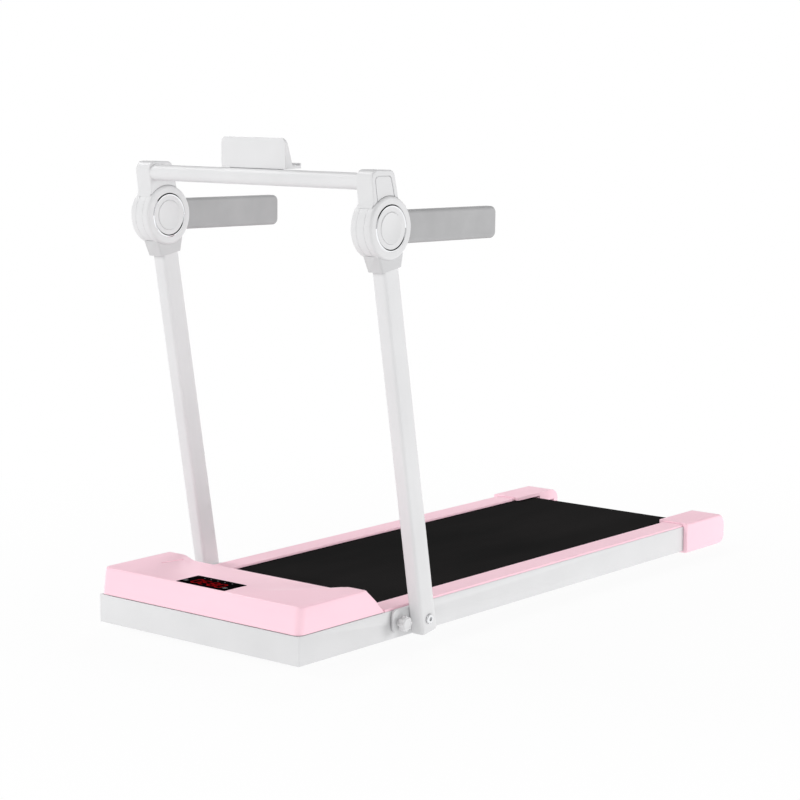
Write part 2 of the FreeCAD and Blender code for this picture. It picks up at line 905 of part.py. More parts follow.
for (side, sign), x in zip(sides, wheel_xs):
    save(f"wheel_{side}", transport_wheel(x))
save("wheel_brackets", *[wheel_bracket(x) for x in wheel_xs])
axles = [rod(wheel_axle_radius, x - cheek_x1, x + cheek_x1, wheel_y, wheel_z) for x in wheel_xs]
save("wheel_axles", *axles)


# Uprights: rounded steel tubes with a foot plate each, turning on shoulder bolts
def post_section(along, shrink):
    half = post_thickness / 2 - shrink
    reach = post_width / 2 - shrink

    def place(x, across):
        return post_point(x, across, along)

    return Part.Face(rounded_wire(place, post_x - half, post_x + half, -reach, reach, post_corner - shrink))


post_top = hub_reach - socket_stop
bush_radius = pivot_radius + running_clearance + bush_wall


def upright():
    length = post_top + post_below_pivot
    tube = post_section(-post_below_pivot, 0).extrude(post_up_vector * length)
    foot = post_point(post_x, 0, -post_below_pivot)

    def foot_edge(edge):
        return abs(middle(edge).sub(foot).dot(post_up_vector)) < 1e-6

    tube = rounded(tube, post_foot_round, foot_edge)
    tube = tube.cut(post_section(post_wall - post_below_pivot, post_wall).extrude(post_up_vector * length))
    hole = rod(bush_radius + socket_clearance, post_inner - 1, post_outer + 1, pivot_y, pivot_z)
    return tube.cut(hole)


def foot_plate():
    def place(y, z):
        return V(plate_x0, from_front(y), above_base(z))

    plate = Part.Face(rounded_wire(place, plate_front, plate_rear, plate_low, plate_high, plate_corner))
    plate = plate.extrude(V(plate_thickness, 0, 0))
    plate = plate.cut(rod(bush_radius + socket_clearance, plate_x0 - 1, post_inner + 1, pivot_y, pivot_z))
    # The slot for the knob's shank curves round the pivot and is open at the plate's lower edge.
    slot_half = knob_shank_radius + knob_slot_clearance
    reach = math.hypot(knob_y - pivot_y, knob_z - pivot_z)
    plate = plate.cut(rod(slot_half, plate_x0 - 1, post_inner + 1, knob_y, knob_z))
    ring = rod(reach + slot_half, plate_x0 - 1, post_inner + 1, pivot_y, pivot_z)
    ring = ring.cut(rod(reach - slot_half, plate_x0 - 2, post_inner + 2, pivot_y, pivot_z))
    far_y = knob_y - reach
    far_z = knob_z - reach * (knob_z - pivot_z) / (knob_y - pivot_y)
    low_z = knob_z - 2 * reach
    corners = [(pivot_y, pivot_z), (far_y, far_z), (far_y, low_z), (pivot_y, low_z)]
    below = prism(corners, plate_x0 - 3, post_inner + 3)
    return plate.cut(ring.common(below))


def pivot_bolt():
    shank = rod(pivot_radius, web_x - bolt_head_height, post_outer + swing_gap, pivot_y, pivot_z)
    nut = rod(bolt_head_radius, web_x - bolt_head_height, web_x, pivot_y, pivot_z)
    head_x = post_outer + swing_gap
    head = rod(bolt_head_radius, head_x, head_x + bolt_head_height, pivot_y, pivot_z)

    def outer_rim(edge):
        return abs(middle(edge).x - head_x - bolt_head_height) < 1e-6

    head = rounded(head, bolt_head_height / 3, outer_rim)
    corners = []
    for number in range(6):
        angle = math.radians(60 * number)
        corners.append((pivot_y + bolt_hex * math.cos(angle), pivot_z + bolt_hex * math.sin(angle)))
    socket = prism(corners, head_x + bolt_head_height - bolt_hex_depth, head_x + bolt_head_height + 1)
    return shank.fuse([nut, head]).removeSplitter().cut(socket)


def pivot_spacer():
    ring = rod(pivot_radius + spacer_wall, half_width, spacer_x1, pivot_y, pivot_z)
    return ring.cut(rod(pivot_radius + socket_clearance, half_width - 1, spacer_x1 + 1, pivot_y, pivot_z))


def knob_boss():
    ring = rod(knob_boss_radius, half_width, spacer_x1, knob_y, knob_z)
    bore = rod(knob_shank_radius + running_clearance, half_width - 1, spacer_x1 + 1, knob_y, knob_z)
    return ring.cut(bore)


def post_bush():
    ring = rod(bush_radius, plate_x0, post_outer, pivot_y, pivot_z)
    return ring.cut(rod(pivot_radius + running_clearance, plate_x0 - 1, post_outer + 1, pivot_y, pivot_z))


def lock_knob():
    neck_x = post_inner + swing_gap
    x0 = neck_x + knob_neck_length
    x1 = x0 + knob_thickness
    star = rod(knob_core_radius, x0, x1, knob_y, knob_z)
    for number in range(knob_lobes):
        angle = 2 * math.pi * number / knob_lobes
        y = knob_y + knob_lobe_ring * math.cos(angle)
        z = knob_z + knob_lobe_ring * math.sin(angle)
        star = star.fuse(rod(knob_lobe_radius, x0, x1, y, z))
    star = star.removeSplitter()
    cap = rod(knob_cap_radius, x1, x1 + knob_cap_height, knob_y, knob_z)
    neck = rod(knob_neck_radius, neck_x, x0, knob_y, knob_z)
    shank = rod(knob_shank_radius, web_x, neck_x, knob_y, knob_z)
    return star.fuse([cap, neck, shank]).removeSplitter()


def both(shape):
    return on_side(shape, -1), shape


save("pivot_bolts", *both(pivot_bolt()))
save("pivot_spacers", *both(pivot_spacer()), *both(knob_boss()))
save("post_bushes", *both(post_bush()))


# Hubs: the collar's two round ears carry an axle, and the head's core turns between them
def collar():
    def section(along, half, front, rear):
        def place(x, across):
            return post_point(x, across, along)

        return rounded_wire(place, post_x - half, post_x + half, -front, rear, collar_corner)

    bottom_half = post_thickness / 2 + collar_bottom_wall
    top = section(hub_reach - collar_top, block_thickness / 2, collar_top_half, collar_top_half)
    bottom = section(hub_reach - collar_bottom, bottom_half, collar_bottom_front, collar_bottom_rear)
    body = Part.makeLoft([bottom, top], True, True)
    body = body.cut(hub_rod(hub_radius + hub_swing_gap, -ear_start, ear_start))
    for sign in (-1, 1):
        x0, x1 = sorted((sign * ear_end, sign * hub_thickness))
        body = body.cut(hub_rod(hub_radius, x0, x1))
    for sign in (-1, 1):
        x0, x1 = sorted((sign * ear_start, sign * ear_end))
        body = body.fuse(hub_rod(hub_radius, x0, x1))
    body = body.removeSplitter()
    socket = post_section(hub_reach - collar_bottom - 1, -socket_clearance)
    body = body.cut(socket.extrude(post_up_vector * (collar_bottom - socket_stop + 1)))
    return body.cut(hub_rod(hub_axle_radius, -hub_thickness, hub_thickness))


def hub_cover(face):
    # The cover on the face at +1 (outer) or -1 (inner): a rounded disc with a ring seat and a round well.
    x0, x1 = sorted((face * ear_end, face * hub_half))
    disc = hub_rod(hub_radius, x0, x1)

    def outer_rim(edge):
        return abs(middle(edge).x - post_x - face * hub_half) < 1e-6

    disc = rounded(disc, cover_round, outer_rim)
    s0, s1 = sorted((face * (hub_half - ring_seat), face * (hub_half + 1)))
    seat = hub_rod(ring_outer, s0, s1).cut(hub_rod(ring_outer - ring_width, s0 - 1, s1 + 1))
    well = hub_rod(button_radius + button_clearance, x0 - 1, x1 + 1)
    return disc.cut(seat).cut(well)


def hub_ring(face):
    x0, x1 = sorted((face * (hub_half - ring_seat), face * (hub_half + ring_proud)))
    ring = hub_rod(ring_outer, x0, x1)
    return ring.cut(hub_rod(ring_outer - ring_width, x0 - 1, x1 + 1))


def hub_button(face, height):
    top = hub_half + button_proud
    x0, x1 = sorted((face * (top - height), face * top))
    button = hub_rod(button_radius, x0, x1)

    def outer_rim(edge):
        return abs(middle(edge).x - post_x - face * top) < 1e-6

    return rounded(button, button_round, outer_rim)


# Head: core and block in one moulding, with the bar of the grip let into the core
block_points = (
    (hub.y - block_front_low, hub.z + block_low),
    (hub.y - block_front_high, hub.z + block_high),
    (hub.y + block_rear_high, hub.z + block_high - block_fall),
    (hub.y + block_rear_low, hub.z + block_low),
)


def hub_block():
    half = block_thickness / 2
    block = prism(block_points, post_x - half, post_x + half)

    def top_corner(y, z):
        def wanted(edge):
            point = middle(edge)
            return along_x(edge) and abs(point.y - y) < 1e-6 and abs(point.z - z) < 1e-6

        return wanted

    block = rounded(block, block_front_round, top_corner(*block_points[1]))
    block = rounded(block, block_rear_round, top_corner(*block_points[2]))

    def face_edge(edge):
        point = middle(edge)
        on_face = abs(abs(point.x - post_x) - half) < 1e-6
        return not along_x(edge) and on_face and point.z > hub.z + block_low + 1

    return rounded(block, block_edge_round, face_edge)


def panel_groove_solid():
    # A fine groove round the panel in the block's outer face, running down into the hub cover.
    x1 = post_x + block_thickness / 2
    x0 = x1 - panel_groove_depth
    (y0, z0), (y1, z1), (y2, z2), (y3, _) = block_points

    def outline(margin):
        high = min(z1, z2) - margin
        corners = [(y0 + margin, z0), (y1 + margin, high), (y2 - margin, high), (y3 - margin, z0)]

        def top_corner(edge):
            return along_x(edge) and abs(middle(edge).z - high) < 1e-6

        return rounded(prism(corners, x0, x1 + 1), panel_corner + panel_margin - margin, top_corner)

    return outline(panel_margin).cut(outline(panel_margin + panel_groove))


def grip_rod_point(along, up):
    fall = math.radians(grip_fall)
    y = hub.y + along * math.cos(fall) + up * math.sin(fall)
    return y, hub.z - along * math.sin(fall) + up * math.cos(fall)


def grip_block(start, end, height, thickness):
    half = thickness / 2
    corners = ((start, -height / 2), (end, -height / 2), (end, height / 2), (start, height / 2))
    return prism([grip_rod_point(*corner) for corner in corners], post_x - half, post_x + half)


def hub_core():
    core = hub_rod(hub_radius, -core_half, core_half)
    block = hub_block()
    for sign in (-1, 1):
        x0, x1 = sorted((sign * core_half, sign * hub_thickness))
        block = block.cut(hub_rod(hub_radius + hub_swing_gap, x0, x1))
    core = core.fuse(block).removeSplitter()
    core = core.cut(panel_groove_solid())
    core = core.cut(hub_rod(hub_axle_radius + running_clearance, -hub_thickness, hub_thickness))
    core = core.cut(grip_block(handle_bar_start, grip_length, handle_bar_height, handle_bar_thickness))
    bore_x0 = -block_thickness / 2 - 1
    bore = rod(crossbar_radius, post_x + bore_x0, post_x + bore_x0 + crossbar_insert + 1, bar_y, bar_z)
    return core.cut(bore)


def handle_bar():
    end = grip_length - handle_bar_end_gap
    return grip_block(handle_bar_start, end, handle_bar_height, handle_bar_thickness)


def grip():
    body = grip_block(handle_bar_start, grip_length, grip_height, grip_thickness)
    tip = V(post_x, *grip_rod_point(grip_length, 0))

    def tip_corner(edge):
        point = middle(edge)
        return along_x(edge) and point.sub(tip).Length < grip_height

    body = rounded(body, grip_tip_round, tip_corner)

    def face_edge(edge):
        point = middle(edge)
        start = V(point.x, *grip_rod_point(handle_bar_start, 0))
        on_face = abs(abs(point.x - post_x) - grip_thickness / 2) < 1e-6
        return on_face and point.sub(start).Length > grip_height

    body = rounded(body, grip_edge_round, face_edge)
    body = body.cut(hub_rod(hub_radius + hub_swing_gap, -hub_thickness, hub_thickness))
    return body.cut(handle_bar())


for side, sign in sides:
    save(f"post_{side}", on_side(upright(), sign))
    save(f"foot_plate_{side}", on_side(foot_plate(), sign))
    save(f"knob_{side}", on_side(lock_knob(), sign))
    save(f"collar_{side}", on_side(collar(), sign))
    save(f"button_{side}", on_side(hub_button(1, button_height), sign))
    save(f"hub_core_{side}", on_side(hub_core(), sign))
    save(f"grip_{side}", on_side(grip(), sign))
save("hub_axles", *both(hub_rod(hub_axle_radius, -ear_end, ear_end)))
save("hub_covers", *both(hub_cover(1)), *both(hub_cover(-1)))
save("hub_rings", *both(hub_ring(1)), *both(hub_ring(-1)))
save("inner_caps", *both(hub_button(-1, hub_half + button_proud - ear_end)))
save("handle_bars", *both(handle_bar()))

# Crossbar and phone stand
bar_end = post_x - block_thickness / 2 + crossbar_insert
crossbar = rod(crossbar_radius, -bar_end, bar_end, bar_y, bar_z)
crossbar_bore = rod(crossbar_radius - crossbar_wall, -bar_end - 1, bar_end + 1, bar_y, bar_z)
ledge_top = bar_z + crossbar_radius + stand_gap + stand_floor


def phone_stand():
    low = bar_z + crossbar_radius + stand_gap
    high = low + stand_height
    front = bar_y - stand_front
    back = bar_y + stand_back
    reach = bar_y + stand_reach
    lip = reach - stand_lip_thickness
    points = [
        (front, low),
        (front, high),
        (front + stand_top_thickness, high),
        (back, ledge_top),
        (lip, ledge_top),
        (lip, ledge_top + stand_lip),
        (reach, ledge_top + stand_lip),
        (reach, low),
    ]
    wedge = prism(points, -stand_width / 2, stand_width / 2)

    def place(x, z):
        return V(x, front - 1, z)

    half = stand_width / 2
    face = Part.Face(rounded_wire(place, -half, half, low - 2 * stand_corner, high, stand_corner))
    wedge = wedge.common(face.extrude(V(0, stand_front + stand_reach + 2, 0)))
    saddle_z = bar_z + crossbar_radius - saddle_drop
    saddle_half = saddle_width / 2
    saddle = box(-saddle_half, saddle_half, bar_y - saddle_front, bar_y + saddle_back, saddle_z, low)
    stand = wedge.fuse(saddle).removeSplitter()
    return stand.cut(rod(crossbar_radius, -stand_width, stand_width, bar_y, bar_z))


save("crossbar", crossbar.cut(crossbar_bore))
save("phone_stand", phone_stand())
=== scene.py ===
import json
import math

import bpy
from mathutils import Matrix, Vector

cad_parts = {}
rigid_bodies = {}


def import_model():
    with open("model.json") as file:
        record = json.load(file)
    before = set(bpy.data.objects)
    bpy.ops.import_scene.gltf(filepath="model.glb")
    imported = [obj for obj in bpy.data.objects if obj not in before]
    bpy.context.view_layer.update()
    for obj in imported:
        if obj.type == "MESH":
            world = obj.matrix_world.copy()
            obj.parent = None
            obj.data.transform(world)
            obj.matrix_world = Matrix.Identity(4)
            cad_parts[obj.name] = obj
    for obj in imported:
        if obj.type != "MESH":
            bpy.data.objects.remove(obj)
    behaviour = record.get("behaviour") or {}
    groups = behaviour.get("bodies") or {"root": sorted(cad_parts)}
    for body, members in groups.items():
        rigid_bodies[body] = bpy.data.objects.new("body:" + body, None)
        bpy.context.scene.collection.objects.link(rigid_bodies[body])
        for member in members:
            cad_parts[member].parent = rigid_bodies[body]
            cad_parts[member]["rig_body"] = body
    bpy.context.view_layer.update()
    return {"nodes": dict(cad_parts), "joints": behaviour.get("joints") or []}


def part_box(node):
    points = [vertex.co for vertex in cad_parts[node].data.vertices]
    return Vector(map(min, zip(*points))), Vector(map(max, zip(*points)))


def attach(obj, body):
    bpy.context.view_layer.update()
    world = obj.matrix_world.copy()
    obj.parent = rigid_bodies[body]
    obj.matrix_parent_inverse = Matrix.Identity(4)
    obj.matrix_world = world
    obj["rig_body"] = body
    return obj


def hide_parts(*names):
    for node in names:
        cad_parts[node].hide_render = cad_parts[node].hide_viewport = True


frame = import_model()


# Base frame: two side channels and a front channel of folded sheet steel, welded to cross members and a
# rear bar. It is powder-coated white, which rounds every edge a little and leaves a fine orange-peel skin.
def tone(red, green, blue):
    linear = []
    for value in (red / 255, green / 255, blue / 255):
        linear.append(value / 12.92 if value <= 0.04045 else ((value + 0.055) / 1.055) ** 2.4)
    return (*linear, 1.0)


def new_material(name):
    material = bpy.data.materials.new(name)
    material.use_nodes = True
    tree = material.node_tree
    return material, tree, tree.nodes["Principled BSDF"]


def node(tree, kind, **settings):
    made = tree.nodes.new(kind)
    for key, value in settings.items():
        setattr(made, key, value)
    return made


def grain(tree, scale, detail, stretch=(1.0, 1.0, 1.0)):
    where = node(tree, "ShaderNodeTexCoord")
    mapping = node(tree, "ShaderNodeMapping")
    mapping.inputs["Scale"].default_value = stretch
    noise = node(tree, "ShaderNodeTexNoise")
    noise.inputs["Scale"].default_value = scale
    noise.inputs["Detail"].default_value = detail
    tree.links.new(where.outputs["Object"], mapping.inputs["Vector"])
    tree.links.new(mapping.outputs["Vector"], noise.inputs["Vector"])
    return noise.outputs["Fac"]


def shade_between(tree, factor, dark, light, low=0.3, high=0.7):
    ramp = node(tree, "ShaderNodeValToRGB")
    ramp.color_ramp.elements[0].position = low
    ramp.color_ramp.elements[0].color = dark
    ramp.color_ramp.elements[1].position = high
    ramp.color_ramp.elements[1].color = light
    tree.links.new(factor, ramp.inputs["Fac"])
    return ramp.outputs["Color"]


def range_between(tree, factor, low, high, start=0.0, end=1.0):
    spread = node(tree, "ShaderNodeMapRange")
    spread.inputs["From Min"].default_value = start
    spread.inputs["From Max"].default_value = end
    spread.inputs["To Min"].default_value = low
    spread.inputs["To Max"].default_value = high
    tree.links.new(factor, spread.inputs["Value"])
    return spread.outputs["Result"]


def bumps(tree, shader, height, strength, distance):
    bump = node(tree, "ShaderNodeBump")
    bump.inputs["Strength"].default_value = strength
    bump.inputs["Distance"].default_value = distance
    tree.links.new(height, bump.inputs["Height"])
    tree.links.new(bump.outputs["Normal"], shader.inputs["Normal"])


def skin(name, dark, light, rough, cloud, peel, depth, metal=0.0, gloss=0.5, stretch=(1.0, 1.0, 1.0)):
    material, tree, shader = new_material(name)
    shader.inputs["Metallic"].default_value = metal
    shader.inputs["Specular IOR Level"].default_value = gloss
    clouds = grain(tree, cloud, detail=3.0, stretch=stretch)
    tree.links.new(shade_between(tree, clouds, dark, light), shader.inputs["Base Color"])
    tree.links.new(range_between(tree, clouds, rough[0], rough[1]), shader.inputs["Roughness"])
    bumps(tree, shader, grain(tree, peel, detail=2.0, stretch=stretch), strength=depth, distance=0.0004)
    return material


def dress(material, *names):
    for name in names:
        mesh = frame["nodes"][name].data
        mesh.materials.clear()
        mesh.materials.append(material)


def only(piece):
    bpy.ops.object.select_all(action="DESELECT")
    piece.select_set(True)
    bpy.context.view_layer.objects.active = piece


def smooth(piece, turn=35.0):
    only(piece)
    bpy.ops.object.shade_smooth_by_angle(angle=math.radians(turn))


def copy_of(name):
    piece = bpy.data.objects.new(name + "_finish", frame["nodes"][name].data.copy())
    bpy.context.scene.collection.objects.link(piece)
    only(piece)
    bpy.ops.mesh.customdata_custom_splitnormals_clear()
    bpy.ops.object.mode_set(mode="EDIT")
    bpy.ops.mesh.select_all(action="SELECT")
    bpy.ops.mesh.remove_doubles(threshold=0.000002)
    bpy.ops.mesh.dissolve_limited(angle_limit=math.radians(0.4))
    bpy.ops.mesh.normals_make_consistent(inside=False)
    bpy.ops.object.mode_set(mode="OBJECT")
    return piece


def soften(piece, width, segments=3, sharp=40.0):
    only(piece)
    bpy.ops.object.modifier_add(type="BEVEL")
    bevel = piece.modifiers[-1]
    bevel.width = width
    bevel.segments = segments
    bevel.limit_method = "ANGLE"
    bevel.angle_limit = math.radians(sharp)
    bevel.use_clamp_overlap = False
    bpy.ops.object.modifier_apply(modifier=bevel.name)
    smooth(piece)


def settle(piece, material, slot, *names):
    piece.data.materials.clear()
    piece.data.materials.append(material)
    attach(piece, frame["nodes"][names[0]]["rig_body"])
    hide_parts(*names)


white_paint = skin(
    "powder_coat_white", tone(214, 214, 215), tone(219, 219, 220),
    rough=(0.4, 0.5), cloud=9.0, peel=900.0, depth=0.08, gloss=0.3,
)
for name in ("frame_side_left", "frame_side_right", "frame_front"):
    channel = copy_of(name)
    soften(channel, width=0.0006, segments=2)
    settle(channel, white_paint, "white_paint", name)
rear_tube = copy_of("rear_bar")
soften(rear_tube, width=0.0009)
settle(rear_tube, white_paint, "white_paint", "rear_bar")
dress(white_paint, "cross_members")

# Under the base: the floor pan, four rubber feet, and two transport wheels in brackets.
# The pan and brackets are black-painted pressed steel, the feet moulded rubber, and the wheels turn on
# steel pins.
black_paint = skin(
    "black_paint", tone(24, 24, 25), tone(34, 34, 36), rough=(0.4, 0.55), cloud=20.0, peel=700.0, depth=0.1
)
black_rubber = skin(
    "black_rubber", tone(22, 22, 22), tone(32, 32, 32), rough=(0.65, 0.8), cloud=60.0, peel=1200.0, depth=0.25
)
steel = skin(
    "zinc_steel", tone(176, 178, 181), tone(206, 208, 211),
    rough=(0.25, 0.4), cloud=60.0, peel=300.0, depth=0.08, metal=1.0,
)
dress(black_paint, "floor_pan", "wheel_brackets", "motor_bracket")
foot_pads = copy_of("feet")
soften(foot_pads, width=0.0012)
settle(foot_pads, black_rubber, "black_rubber", "feet")
dress(black_rubber, "wheel_left", "wheel_right", "deck_cushions", "drive_belt")
dress(steel, "wheel_axles", "front_axle", "rear_axle", "tension_bolts", "front_roller", "rear_roller")

# Running deck: a board of pressed wood fibre with a waxed face, screwed down over the rubber cushions.
# Its long fibres show on the face as faint streaks.
deck_board = skin(
    "deck_board", tone(92, 68, 46), tone(128, 98, 68),
    rough=(0.35, 0.5), cloud=26.0, peel=500.0, depth=0.08, stretch=(6.0, 0.6, 6.0),
)
dress(deck_board, "running_deck")


# Running belt: a woven band faced with black rubber, spliced on the slant and stretched over both rollers.
# The face is moulded with a fine diamond tread and is almost without gloss.
def combine(tree, operation, *factors):
    made = node(tree, "ShaderNodeMath", operation=operation)
    for socket, factor in zip(made.inputs, factors):
        tree.links.new(factor, socket)
    return made


tread_slant, tread_scale = 58.0, 42.0
belt_rubber, tree, shader = new_material("belt_rubber")
shader.inputs["Specular IOR Level"].default_value = 0.0
wear = grain(tree, scale=6.0, detail=4.0, stretch=(1.0, 0.35, 1.0))
tree.links.new(shade_between(tree, wear, tone(27, 27, 27), tone(34, 33, 33)), shader.inputs["Base Color"])
tree.links.new(range_between(tree, wear, low=0.62, high=0.74), shader.inputs["Roughness"])
where = node(tree, "ShaderNodeTexCoord")
strands = []
for turn in (tread_slant, -tread_slant):
    slant = node(tree, "ShaderNodeMapping")
    slant.inputs["Rotation"].default_value = (0.0, 0.0, math.radians(turn))
    wave = node(tree, "ShaderNodeTexWave", wave_type="BANDS", bands_direction="X", wave_profile="SIN")
    wave.inputs["Scale"].default_value = tread_scale
    tree.links.new(where.outputs["Object"], slant.inputs["Vector"])
    tree.links.new(slant.outputs["Vector"], wave.inputs["Vector"])
    strands.append(wave.outputs["Fac"])
tread = combine(tree, "MULTIPLY", *strands)
bumps(tree, shader, tread.outputs[0], strength=0.55, distance=0.0006)
dress(belt_rubber, "running_belt")

# Side rails and rear caps: moulded pink plastic, clipped down over the side channels and their rear ends.
# The moulds are lightly textured, so the skin is satin rather than glossy.
pink_plastic = skin(
    "pink_plastic", tone(249, 207, 220), tone(252, 211, 223),
    rough=(0.28, 0.34), cloud=7.0, peel=1500.0, depth=0.05, gloss=0.3,
)
dress(pink_plastic, "side_rail_left", "side_rail_right")
hair = 0.0002


def near(value, target):
    return abs(value - target) < hair


def pick(piece, kind, wanted):
    if piece.mode == "EDIT":
        bpy.ops.object.mode_set(mode="OBJECT")
    mesh = piece.data
    for group in (mesh.vertices, mesh.edges, mesh.polygons):
        group.foreach_set("select", [False] * len(group))
    if kind == "VERT":
        for point in mesh.vertices:
            point.select = wanted(point.co)
    elif kind == "EDGE":
        for edge in mesh.edges:
            start, end = (mesh.vertices[index].co for index in edge.vertices)
            edge.select = wanted(start, end)
    else:
        for face in mesh.polygons:
            face.select = wanted(face.center, face.normal)
    bpy.context.tool_settings.mesh_select_mode = (kind == "VERT", kind == "EDGE", kind == "FACE")
    bpy.ops.object.mode_set(mode="EDIT")


def bevel_edges(piece, wanted, width, segments, clamp=False):
    pick(piece, "EDGE", wanted)
    bpy.ops.mesh.bevel(offset=width, segments=segments, affect="EDGES", clamp_overlap=clamp)
    bpy.ops.object.mode_set(mode="OBJECT")


cap_low, cap_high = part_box("rear_cap_right")
rim_reach = 0.0052


def front_rim(a, b):
    at_front = near(a.y, cap_low.y) and near(b.y, cap_low.y)
    on_top = min(a.z, b.z) > cap_high.z - rim_reach
    on_side = min(abs(a.x), abs(b.x)) > cap_high.x - rim_reach
    return at_front and (on_top or on_side)


for name in ("rear_cap_left", "rear_cap_right"):
    cap = copy_of(name)
    bevel_edges(cap, front_rim, width=0.0018, segments=4, clamp=True)
    smooth(cap)
    settle(cap, pink_plastic, "pink_plastic", name)


# Motor hood: one pink moulding with a drafted front, two low wings and a soft dish that falls towards the
# belt. It stands a little off the frame, which leaves a fine dark joint all round, and a key slot is sunk in
# one wing.
def apply_transforms(piece):
    only(piece)
    bpy.ops.object.transform_apply(location=True, rotation=True, scale=True)


def face_outward(piece):
    pick(piece, "FACE", lambda centre, normal: True)
    bpy.ops.mesh.normals_make_consistent(inside=False)
    bpy.ops.object.mode_set(mode="OBJECT")


def add_box(name, place, size, turn=(0.0, 0.0, 0.0)):
    bpy.ops.mesh.primitive_cube_add(size=1.0, location=place, rotation=turn, scale=size)
    bpy.context.object.name = name
    return bpy.context.object


def cut_away(piece, tool):
    only(piece)
    bpy.ops.object.modifier_add(type="BOOLEAN")
    modifier = piece.modifiers[-1]
    modifier.operation = "DIFFERENCE"
    modifier.solver = "EXACT"
    modifier.object = tool
    bpy.ops.object.modifier_apply(modifier=modifier.name)
    bpy.data.objects.remove(tool)


hood_box_low, hood_box_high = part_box("motor_hood")
joint_gap, side_draft, front_draft, slope_run = 0.0013, 0.0005, 0.0075, 0.0505
hood_top, hood_low = hood_box_high.z, hood_box_low.z + joint_gap
hood_front = hood_box_low.y + front_draft
hood_rear = hood_box_high.y - side_draft
hood_crest = hood_rear - slope_run
hood_half = hood_box_high.x - side_draft
hood_wall, rim_round, corner_round = 0.0025, 0.0036, 0.014
columns, rows = 96, 18
row_depth = (hood_crest - hood_front) / rows
bpy.ops.mesh.primitive_grid_add(x_subdivisions=columns, y_subdivisions=rows, size=1.0)
hood = bpy.context.object
hood.name = "motor_hood_shell"
hood.scale = (2 * hood_half, hood_crest - hood_front, 1.0)
hood.location = (0.0, (hood_front + hood_crest) / 2, hood_top)
apply_transforms(hood)

dish_start, dish_depth, dish_steps = -0.619, 0.0082, 4
dish_half, dish_flare, dish_step_width = 0.112, 0.091, 0.005
for row in range(1, rows + 1):
    row_y = hood_front + row * row_depth
    share = (row_y - dish_start) / (hood_crest - dish_start)
    if share > 0:
        for step in range(dish_steps):
            half = dish_half + dish_flare * share - step * dish_step_width
            pick(hood, "VERT", lambda co: near(co.y, row_y) and abs(co.x) < half)
            bpy.ops.transform.translate(value=(0.0, 0.0, -dish_depth * share / dish_steps))
soft_start, soft_half = -0.65, 0.225
pick(hood, "VERT", lambda co: co.y > soft_start and abs(co.x) < soft_half)
bpy.ops.mesh.vertices_smooth(factor=0.5, repeat=1, xaxis=False, yaxis=False, zaxis=True)

# The rows and columns that the corner rounding would run into come out, then the walls go down in two steps.
corner_room, edge_room = 0.018, 0.001
pick(hood, "EDGE", lambda a, b: near(a.x, b.x) and hood_half - corner_room < abs(a.x) < hood_half - edge_room)
bpy.ops.mesh.dissolve_edges(use_verts=True)
pick(hood, "EDGE", lambda a, b: near(a.y, b.y) and near(a.y, hood_front + row_depth))
bpy.ops.mesh.dissolve_edges(use_verts=True)
pick(hood, "EDGE", lambda a, b: False)
bpy.ops.mesh.select_non_manifold()
drop = hood_top - hood_low
for _ in range(2):
    bpy.ops.mesh.extrude_region_move(TRANSFORM_OT_translate={"value": (0.0, 0.0, -drop / 2)})
foot_reach = 0.01
pick(hood, "VERT", lambda co: co.z < hood_low + foot_reach)
bpy.ops.transform.resize(value=(1.0, 1.0, 0.0), center_override=(0.0, 0.0, hood_low))
band_below, band_above, slope_bulge = 0.012, 0.004, 0.0023
for step, bulge in ((1, slope_bulge), (2, 0.0)):
    level = hood_top - drop * step / 2
    low, high = level - band_below, level + band_above
    pick(hood, "VERT", lambda co: low < co.z < high and near(co.y, hood_front))
    bpy.ops.transform.translate(value=(0.0, -front_draft * step / 2, 0.0))
    run = slope_run * step / 2 + bulge
    pick(hood, "VERT", lambda co: low < co.z < high and near(co.y, hood_crest))
    bpy.ops.transform.translate(value=(0.0, run, 0.0))
pick(hood, "VERT", lambda co: near(co.z, hood_low))
bpy.ops.transform.resize(value=(hood_box_high.x / hood_half, 1.0, 1.0), center_override=(0.0, 0.0, hood_low))
wall_run, corner_chord = 0.01, 0.0035


def at_flank(a, b):
    return min(abs(a.x), abs(b.x)) > hood_half - hair and a.x * b.x > 0


def corner_edge(a, b):
    return abs(a.z - b.z) > wall_run and at_flank(a, b) and max(a.y, b.y) < hood_front + hair


def rim_edge(a, b):
    on_top = min(a.z, b.z) > hood_top - hair / 2
    at_front = max(a.y, b.y) < hood_front + corner_round + hair
    at_side = min(abs(a.x), abs(b.x)) > hood_half - corner_round - hair and a.x * b.x > 0
    straight_front = near(a.y, hood_front) and near(b.y, hood_front)
    straight_side = near(abs(a.x), hood_half) and near(abs(b.x), hood_half)
    on_arc = at_front and at_side and math.hypot(a.x - b.x, a.y - b.y) < corner_chord
    return on_top and (straight_front or straight_side or on_arc)


def crest_edge(a, b):
    return near(a.y, hood_crest) and near(b.y, hood_crest) and min(a.z, b.z) > hood_top - band_below


def slope_edge(a, b):
    return at_flank(a, b) and min(a.y, b.y) > hood_crest - hair and abs(a.z - b.z) > wall_run


def soft_edge(a, b):
    return rim_edge(a, b) or crest_edge(a, b) or slope_edge(a, b)


bevel_edges(hood, corner_edge, corner_round, segments=8)
bevel_edges(hood, soft_edge, rim_round, segments=5, clamp=True)
face_outward(hood)
bpy.ops.object.modifier_add(type="SOLIDIFY")
hood.modifiers[-1].thickness = hood_wall
hood.modifiers[-1].offset = -1.0
bpy.ops.object.modifier_apply(modifier=hood.modifiers[-1].name)
slot_place, slot_size = (-0.1842, -0.5565, hood_top), (0.0042, 0.05, 0.0044)
slot_turn = (0.0, 0.0, math.radians(-9.6))
cut_away(hood, add_box("key_slot", slot_place, slot_size, slot_turn))
smooth(hood)
settle(hood, pink_plastic, "pink_plastic", "motor_hood")

